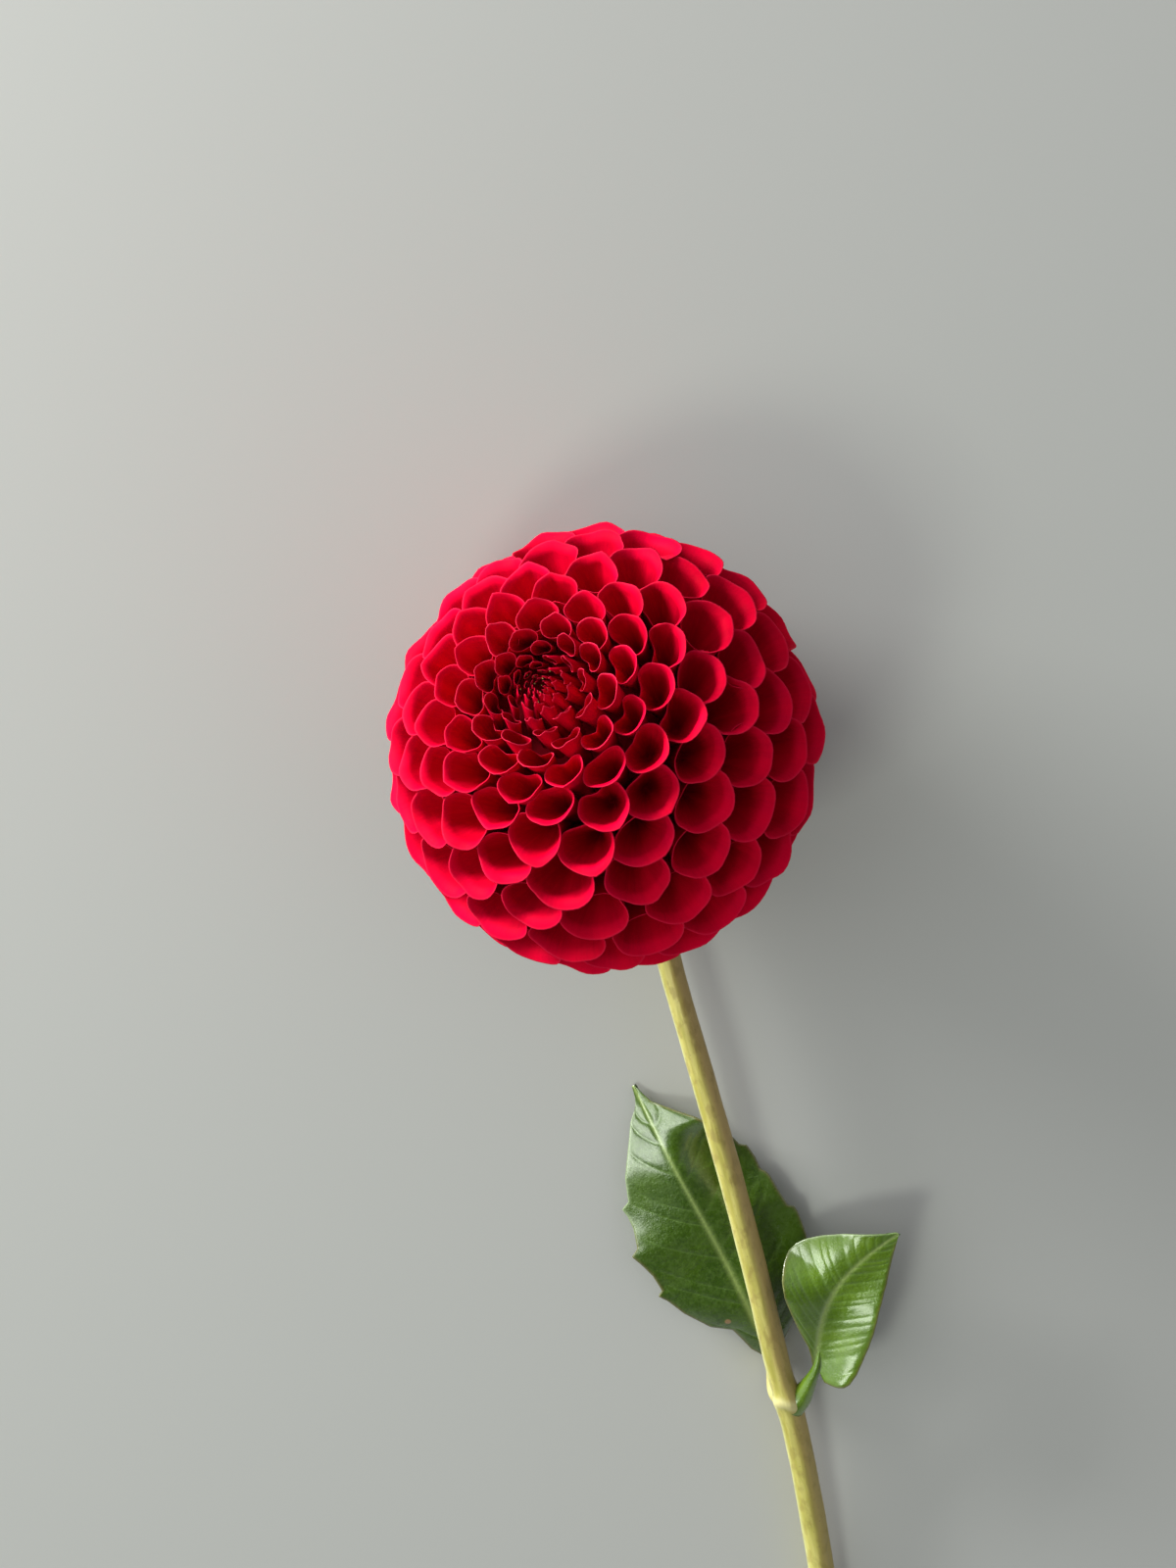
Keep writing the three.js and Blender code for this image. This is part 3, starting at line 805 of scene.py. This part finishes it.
def leaf_mesh(leaf, height):
    """Toothed blade with sunken side veins; layers carry the vein pattern and the margin."""
    t = np.linspace(0, 1, LEAF_ROWS)[:, None]
    c = np.linspace(-1, 1, 2 * LEAF_HALF_COLUMNS + 1)[None, :]
    c = np.sign(c) * np.abs(c) ** 0.9
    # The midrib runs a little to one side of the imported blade's bow, inside the same outline
    shift = leaf["midrib"] * np.sin(math.pi * t)
    left = np.interp(t, *zip(*leaf["left"])) - shift
    right = np.interp(t, *zip(*leaf["right"])) + shift
    half = np.where(c > 0, left, right)
    w = c * half
    # The right lobe reaches back past the leaf's base
    lobe = np.where(c < 0, leaf["lobe"], 0.0) * np.abs(c) ** 1.3 * np.clip(1 - t / 0.3, 0, 1) ** 1.2
    turn = math.radians(leaf["heading"])
    sway = w + leaf["bow"] * np.sin(math.pi * t ** leaf["bow_power"]) + shift
    forward = leaf["length"] * (t - lobe)
    x = leaf["base"][0] + math.cos(turn) * forward - math.sin(turn) * sway
    y = leaf["base"][1] + math.sin(turn) * forward + math.cos(turn) * sway + BALL_CENTRE[1]

    off = vein_distance(leaf, t, w, c)
    reach = 1 - smoothstep(0.8, 1.0, np.abs(c))
    side_vein = bump(off, 0.17) * reach * smoothstep(0.02, 0.12, t)
    quilt = (1 - bump(off, 0.9)) * smoothstep(0.03, 0.2, np.abs(c)) * reach
    z = height(t, w, c, half) - SIDE_VEIN_DEPTH * side_vein - MIDRIB_DEPTH * bump(w, 0.35)
    z = z + leaf["quilt"] * quilt * smoothstep(0, 3, half)
    points, faces = two_faced(np.stack([x, y, z], axis=-1), LEAF_THICKNESS)
    points[:, 2] = np.maximum(points[:, 2], LEAF_FLOOR)

    def both_faces(values):
        return np.tile(np.broadcast_to(values, z.shape).reshape(-1), 2)

    from_spot = np.hypot(leaf["length"] * (t - leaf["spot"][0]), w - leaf["spot"][1])
    layers = {
        "side_vein": both_faces(side_vein),
        "midrib": both_faces(bump(w, 0.19 + 0.3 * (1 - t))),
        "margin": both_faces(bump(np.minimum(np.abs(half) - np.abs(w), 4.0), 0.28)),
        "upper": np.repeat([1.0, 0.0], z.size),
        "share": both_faces(t),
        "half": both_faces(np.where(c > 0, 1.0, 0.0)),
        "spot": both_faces(bump(from_spot, 0.5)),
    }
    return points, faces, layers


# Materials

NOISE_ROUGHNESS = 0.55

PETAL_RED = (0.52, 0.0, 0.02)
PETAL_BRIGHT = (0.66, 0.0, 0.034)
PETAL_DARK = (0.48, 0.0, 0.011)
# Painted shade: the two reds that darken the petals down into their cups
CUP_SHADE_RED = (0.36, 0.0, 0.009)
CUP_DEEP_SHADE = (0.36, 0.0, 0.007)
BUD_RED = (0.26, 0.0, 0.01)
STREAK_RED = (0.85, 0.0, 0.028)
FOLD_HIGHLIGHT_RED = (0.85, 0.0, 0.03)
# Painted highlight: the pale pink of the rims
RIM_HIGHLIGHT_PINK = (0.9, 0.04, 0.11)
SHEEN_PINK = (1.0, 0.05, 0.15)
# Painted shade: the heart's reds are far darker than the petals, so the gaps read as shade
HEART_SHADE_DARK = (0.2, 0.0, 0.006)
HEART_SHADE_RED = (0.3, 0.0, 0.01)
SPECK_DARK = (0.14, 0.12, 0.03)
SPECK_PALE = (0.3, 0.3, 0.08)
CALYX_DARK = (0.1, 0.19, 0.035)
CALYX_PALE = (0.26, 0.36, 0.1)
STEM_GREEN = (0.37, 0.33, 0.06)
STEM_YELLOW = (0.56, 0.50, 0.15)
# Painted shade: brown of the stem's side away from the light
STEM_SHADE_BROWN = (0.42, 0.29, 0.1)
# Painted highlight: the pale strip along the stem's lit side
STEM_LIT_EDGE = (0.6, 0.62, 0.34)
STEM_SPOT = (0.27, 0.19, 0.05)
STEM_LOWER = (0.40, 0.40, 0.08)
STEM_FLECK = (0.2, 0.13, 0.06)
NODE_PALE = (0.66, 0.6, 0.28)
LARGE_LEAF_GREENS = [(0.033, 0.078, 0.001), (0.058, 0.12, 0.002)]
SMALL_LEAF_GREENS = [(0.075, 0.15, 0.004), (0.13, 0.23, 0.01)]
LEAF_UNDERSIDE = [(0.2, 0.3, 0.12), (0.28, 0.38, 0.17)]
LEAF_NET = (0.11, 0.19, 0.035)
LEAF_SIDE_VEIN = (0.16, 0.27, 0.06)
LEAF_MIDRIB = (0.3, 0.4, 0.12)
LEAF_TRIM = (0.2, 0.13, 0.05)
# Painted highlight: the pale sheen of the outer left margin
LEAF_MARGIN_SHEEN = (0.42, 0.52, 0.3)
LEAF_SPOT = (0.36, 0.2, 0.09)
PAPER = (0.52, 0.52, 0.506)


class Nodes:
    """Adds nodes to one tree and links them."""

    def __init__(self, tree):
        self.tree = tree

    def put(self, value, socket):
        """Links an output to a socket, or sets the socket to a number or a colour."""
        if isinstance(value, (int, float)):
            socket.default_value = value
        elif isinstance(value, tuple):
            socket.default_value = (*value, 1.0)
        else:
            self.tree.links.new(value, socket)

    def ramp(self, source, low, high, out_low=0.0, out_high=1.0):
        node = self.tree.nodes.new("ShaderNodeMapRange")
        node.interpolation_type = "SMOOTHSTEP"
        limits = {"From Min": low, "From Max": high, "To Min": out_low, "To Max": out_high}
        for key, value in limits.items():
            node.inputs[key].default_value = value
        self.put(source, node.inputs["Value"])
        return node.outputs["Result"]

    def math(self, operation, a, b):
        node = self.tree.nodes.new("ShaderNodeMath")
        node.operation = operation
        self.put(a, node.inputs[0])
        self.put(b, node.inputs[1])
        return node.outputs["Value"]

    def toward(self, direction):
        """Cosine of the angle between a world ray and a direction of the part's frame."""
        node = self.tree.nodes.new("ShaderNodeVectorMath")
        node.operation = "DOT_PRODUCT"
        node.inputs[1].default_value = tuple(unit(direction))
        place = self.tree.nodes.new("ShaderNodeTexCoord")
        self.tree.links.new(place.outputs["Generated"], node.inputs[0])
        return node.outputs["Value"]


class Shader(Nodes):
    """One material and the nodes that lead to its surface."""

    def __init__(self, name, roughness, specular):
        self.material = bpy.data.materials.new(name)
        self.material.use_nodes = True
        super().__init__(self.material.node_tree)
        self.surface = self.tree.nodes["Principled BSDF"]
        self.set("Roughness", roughness)
        self.set("Specular IOR Level", specular)

    def set(self, socket, value):
        self.put(value, self.surface.inputs[socket])

    def layer(self, name):
        node = self.tree.nodes.new("ShaderNodeAttribute")
        node.attribute_name = name
        return node.outputs["Fac"]

    def place(self):
        return self.tree.nodes.new("ShaderNodeTexCoord").outputs["Object"]

    def stretched(self, scale):
        node = self.tree.nodes.new("ShaderNodeMapping")
        node.inputs["Scale"].default_value = scale
        self.tree.links.new(self.place(), node.inputs["Vector"])
        return node.outputs["Vector"]

    def lengthwise(self):
        """Veins that run along a floret: arc distance across it, then depth, then its own tone."""
        node = self.tree.nodes.new("ShaderNodeCombineXYZ")
        depth = self.math("MULTIPLY", self.layer("cup"), 0.8)
        number = self.math("MULTIPLY", self.layer("tone"), 9.0)
        for socket, value in zip(node.inputs, (self.layer("around"), depth, number)):
            self.tree.links.new(value, socket)
        return node.outputs["Vector"]

    def noise(self, scale, detail, vector=None):
        node = self.tree.nodes.new("ShaderNodeTexNoise")
        node.inputs["Scale"].default_value = scale
        node.inputs["Detail"].default_value = detail
        node.inputs["Roughness"].default_value = NOISE_ROUGHNESS
        self.tree.links.new(vector or self.place(), node.inputs["Vector"])
        return node.outputs["Fac"]

    def mix(self, share, a, b):
        """Colour a, with b over it by its share."""
        node = self.tree.nodes.new("ShaderNodeMix")
        node.data_type = "RGBA"
        self.put(share, node.inputs[0])
        self.put(a, node.inputs[6])
        self.put(b, node.inputs[7])
        return node.outputs[2]

    def relief(self, height, distance, strength):
        node = self.tree.nodes.new("ShaderNodeBump")
        node.inputs["Distance"].default_value = distance
        node.inputs["Strength"].default_value = strength
        self.tree.links.new(height, node.inputs["Height"])
        self.tree.links.new(node.outputs["Normal"], self.surface.inputs["Normal"])


def petal_material():
    """Crimson, streaked along the floret, with painted shade down the cup, darker in the buds, a painted
    highlight along the fold and a pink painted highlight at the rim.
    """
    s = Shader("petal", 0.6, 0.02)
    red = s.mix(s.ramp(s.noise(160, 3), 0.3, 0.75), PETAL_RED, PETAL_BRIGHT)
    red = s.mix(s.ramp(s.layer("tone"), -1.5, 1.5, 0.0, 0.35), red, PETAL_DARK)
    # Painted shade: the petal darkens down into the cup, where less light reaches
    inside = s.mix(s.ramp(s.layer("cup"), 0.09, 0.17, 0.0, 0.45), red, CUP_SHADE_RED)
    deep_shade = s.mix(s.ramp(s.layer("cup"), 0.15, 0.6, 0.0, 0.8), inside, CUP_DEEP_SHADE)
    young = s.mix(s.ramp(s.layer("young"), 0.2, 1.0, 0.0, 0.55), deep_shade, BUD_RED)
    streak = s.ramp(s.noise(1.9, 3, s.lengthwise()), 0.36, 0.68)
    veined = s.mix(s.math("MULTIPLY", streak, 0.16), young, STREAK_RED)
    # Painted highlight: a lighter line down the far wall's fold, where the crease catches the light
    fold_highlighted = s.mix(s.math("MULTIPLY", s.layer("crease"), 0.35), veined, FOLD_HIGHLIGHT_RED)
    # Painted rim highlight, stronger on the young florets
    rim_light_share = s.math("MULTIPLY", s.layer("rim_light"), s.ramp(s.layer("young"), 0.0, 0.5, 0.3, 0.85))
    s.set("Base Color", s.mix(rim_light_share, fold_highlighted, RIM_HIGHLIGHT_PINK))
    s.relief(s.noise(2.2, 3, s.lengthwise()), 0.00012, 0.25)
    s.set("Sheen Weight", 0.02)
    s.set("Sheen Roughness", 0.35)
    s.set("Sheen Tint", SHEEN_PINK)
    return s.material


def core_material():
    s = Shader("petal_heart_shade", 0.85, 0.1)
    # Painted shade: much darker than the petals, so the gaps between the florets read as shade
    s.set("Base Color", s.mix(s.ramp(s.noise(500, 3), 0.3, 0.7), HEART_SHADE_DARK, HEART_SHADE_RED))
    return s.material


def speck_material():
    s = Shader("eye_specks", 0.6, 0.3)
    s.set("Base Color", s.mix(s.ramp(s.noise(1500, 2), 0.35, 0.65), SPECK_DARK, SPECK_PALE))
    return s.material


def calyx_material():
    s = Shader("calyx_green", 0.5, 0.4)
    s.set("Base Color", s.mix(s.ramp(s.noise(420, 4), 0.3, 0.72), CALYX_DARK, CALYX_PALE))
    s.relief(s.noise(900, 3), 0.0002, 0.4)
    return s.material


def stem_material():
    """Yellow-green with a painted highlight on the lit side, brown on the other as painted shade broken by
    a real blush, streaked and flecked, pale at the node.
    """
    s = Shader("stem_skin", 0.42, 0.45)
    lengthwise = s.stretched((1.0, 0.12, 1.0))
    green = s.mix(s.ramp(s.noise(900, 4, lengthwise), 0.32, 0.7), STEM_GREEN, STEM_YELLOW)
    blush = s.ramp(s.noise(210, 4, s.stretched((1.0, 0.3, 1.0))), 0.46, 0.7)
    # Painted shade: brown on the side away from the light, with a real brown blush mixed in
    away_from_light = s.math("ADD", s.layer("side"), s.math("MULTIPLY", blush, 0.35))
    skin = s.mix(s.ramp(away_from_light, -0.2, 0.6, 0.0, 0.95), green, STEM_SHADE_BROWN)
    # Painted highlight: a pale strip along the lit side
    skin = s.mix(s.ramp(s.layer("side"), -1.0, -0.72, 0.65, 0.0), skin, STEM_LIT_EDGE)
    spots = s.ramp(s.noise(900, 5, s.stretched((1.0, 0.5, 1.0))), 0.5, 0.66, 0.0, 0.5)
    skin = s.mix(spots, skin, STEM_SPOT)
    skin = s.mix(s.ramp(s.layer("along"), -170, -60, 0.35, 0.0), skin, STEM_LOWER)
    flecks = s.math("MULTIPLY", s.ramp(s.noise(2400, 2), 0.66, 0.74), 0.4)
    skin = s.mix(flecks, skin, STEM_FLECK)
    s.set("Base Color", s.mix(s.ramp(s.layer("node"), 0.1, 0.9, 0.0, 0.8), skin, NODE_PALE))
    s.relief(s.noise(1100, 4, lengthwise), 0.0002, 0.5)
    s.set("Roughness", s.ramp(s.noise(600, 3), 0.3, 0.7, 0.34, 0.52))
    return s.material


def leaf_material(name, greens, gloss):
    """Waxy green with a fine net, paler veins, a thin margin that fades to the tip and carries a painted
    sheen on the outer left half, and one spot.
    """
    s = Shader(name, 0.36, 0.5)
    mottle = s.ramp(s.noise(170, 5), 0.34, 0.68)
    net = s.math("MULTIPLY", s.ramp(s.noise(1500, 2), 0.48, 0.56), 0.22)
    blade = s.mix(net, s.mix(mottle, *greens), LEAF_NET)
    blade = s.mix(s.math("MULTIPLY", s.layer("side_vein"), 0.4), blade, LEAF_SIDE_VEIN)
    blade = s.mix(s.math("MULTIPLY", s.layer("midrib"), 0.85), blade, LEAF_MIDRIB)
    # Painted highlight: the left half's margin toward the tip is pale, as a curled margin catching the
    # light
    outer = s.math("MULTIPLY", s.layer("half"), s.ramp(s.layer("share"), 0.5, 0.66))
    trim_and_sheen = s.mix(outer, LEAF_TRIM, LEAF_MARGIN_SHEEN)
    fading = s.ramp(s.layer("share"), 0.9, 0.98, 0.55, 0.0)
    blade = s.mix(s.math("MULTIPLY", s.layer("margin"), fading), blade, trim_and_sheen)
    blade = s.mix(s.ramp(s.layer("spot"), 0.3, 0.7, 0.0, 0.85), blade, LEAF_SPOT)
    under = s.mix(mottle, *LEAF_UNDERSIDE)
    s.set("Base Color", s.mix(s.layer("upper"), under, blade))
    fine = s.math("ADD", s.noise(1300, 3), s.math("MULTIPLY", s.noise(3600, 2), 0.5))
    s.relief(fine, 0.0002, 0.45)
    s.set("Roughness", s.ramp(s.noise(380, 3), 0.3, 0.7, gloss - 0.05, gloss + 0.1))
    s.set("Coat Weight", 0.85)
    s.set("Coat IOR", 1.6)
    s.set("Coat Roughness", 0.2)
    return s.material


# The flower put together

ZONES = [("florets_front", 0, 50), ("florets_middle", 50, 85), ("florets_back", 85, 180)]


def show(piece, material, node):
    piece.data.materials.append(material)
    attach(piece, "root")
    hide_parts(node)


def build_flower():
    florets = floret_frames()
    petals = [floret_mesh(floret, florets) for floret in florets]
    settle(florets, petals)
    petal = petal_material()
    for name, start, end in ZONES:
        zone = [m for m, f in zip(petals, florets) if start <= math.degrees(f["angle"]) < end]
        show(join_meshes(name, zone), petal, "bloom")
    show(join_meshes("bloom_core", [core_mesh()]), core_material(), "bloom")
    show(join_meshes("eye_specks", [speck_mesh()]), speck_material(), "bloom")
    show(join_meshes("calyx_bracts", [calyx_mesh()], BLOOM_AXIS, 0), calyx_material(), "calyx")
    stem = stem_material()
    show(make_piece("stem_skin", *stem_mesh()), stem, "stem")
    dark = leaf_material("leaf_dark", LARGE_LEAF_GREENS, 0.27)
    light = leaf_material("leaf_light", SMALL_LEAF_GREENS, 0.25)
    large = leaf_mesh(LARGE_LEAF, large_height)
    small = leaf_mesh(SMALL_LEAF, small_height)
    show(make_piece("large_leaf_blade", *large), dark, "leaf_large")
    show(make_piece("small_leaf_blade", *small), light, "leaf_small")
    show(make_piece("large_leaf_stalk", *stalk_mesh(*LARGE_STALK)), stem, "leaf_large")
    show(make_piece("small_leaf_stalk", *stalk_mesh(*SMALL_STALK)), light, "leaf_small")


# Surface, light and camera; directions are the camera's (right, up, toward the camera)

SURFACE_REACH = 9.0
ROOM_WHITE = (0.96, 0.99, 1.0)
GLOW_SIDE = (-0.85, 0.30, 0.43)
CARD_SIDE = (0.04, -0.59, 0.80)
# Name, direction from the ball, distance, width and height, power, colour
LAMPS = [
    ("window", (-0.82, 0.50, 0.29), 0.52, (0.28, 0.13), 6.7, (0.98, 1.0, 0.96)),
    ("sky", (-0.46, -0.58, 0.67), 0.6, (0.16, 0.16), 0.8, (0.93, 1.0, 0.88)),
]


def from_camera(vector):
    """Direction from the camera's axes into the part's."""
    return PHOTO_TURN @ np.asarray(vector, float)


def add_surface():
    mesh = bpy.data.meshes.new("surface")
    a = SURFACE_REACH
    mesh.from_pydata([(-a, -a, 0), (a, -a, 0), (a, a, 0), (-a, a, 0)], [], [(0, 1, 2, 3)])
    surface = add_object("surface", mesh)
    s = Shader("surface_paper", 0.9, 0.1)
    s.set("Base Color", PAPER)
    mesh.materials.append(s.material)


def add_lamp(name, direction, distance, size, power, colour):
    light = bpy.data.lights.new(name, "AREA")
    light.shape = "RECTANGLE"
    light.size, light.size_y = size
    light.energy = power
    light.color = colour
    lamp = add_object(name, light)
    direction = unit(from_camera(direction))
    lamp.location = Vector(BALL_CENTRE * MM + direction * distance)
    lamp.rotation_euler = Vector(direction).to_track_quat("Z", "Y").to_euler()


def light_room():
    """Pale room, brighter on the window's side."""
    world = bpy.data.worlds.new("room")
    bpy.context.scene.world = world
    world.use_nodes = True
    room = Nodes(world.node_tree)
    background = world.node_tree.nodes["Background"]
    glow = room.ramp(room.toward(from_camera(GLOW_SIDE)), 0.4, 0.95, 0.45, 1.0)
    # A dark card over the leaves keeps their level parts deep green
    card = room.ramp(room.toward(from_camera(CARD_SIDE)), 0.7, 0.93, 1.0, 0.12)
    room.put(ROOM_WHITE, background.inputs["Color"])
    room.put(room.math("MULTIPLY", glow, card), background.inputs["Strength"])


def add_camera():
    camera = bpy.data.cameras.new("camera")
    camera.lens = LENS
    camera.sensor_width = 36.0
    camera.sensor_fit = "AUTO"
    camera.clip_start, camera.clip_end = 0.01, 20.0
    holder = add_object("camera", camera)
    place = BALL_CENTRE - PHOTO_TURN @ BALL_FROM_CAMERA
    rows = [[*row, p * MM] for row, p in zip(PHOTO_TURN.tolist(), place)]
    holder.matrix_world = Matrix(rows + [[0, 0, 0, 1]])
    bpy.context.scene.camera = holder


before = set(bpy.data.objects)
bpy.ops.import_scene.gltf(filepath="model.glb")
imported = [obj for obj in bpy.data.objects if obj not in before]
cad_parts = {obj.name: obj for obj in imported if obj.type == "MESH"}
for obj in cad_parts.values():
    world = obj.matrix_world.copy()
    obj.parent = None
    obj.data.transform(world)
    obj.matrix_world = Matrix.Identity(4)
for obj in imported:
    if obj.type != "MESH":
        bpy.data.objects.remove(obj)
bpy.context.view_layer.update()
build_flower()
add_surface()
for lamp in LAMPS:
    add_lamp(*lamp)
light_room()
add_camera()
bpy.context.scene.view_settings.view_transform = "Standard"
bpy.context.scene.view_settings.look = "None"
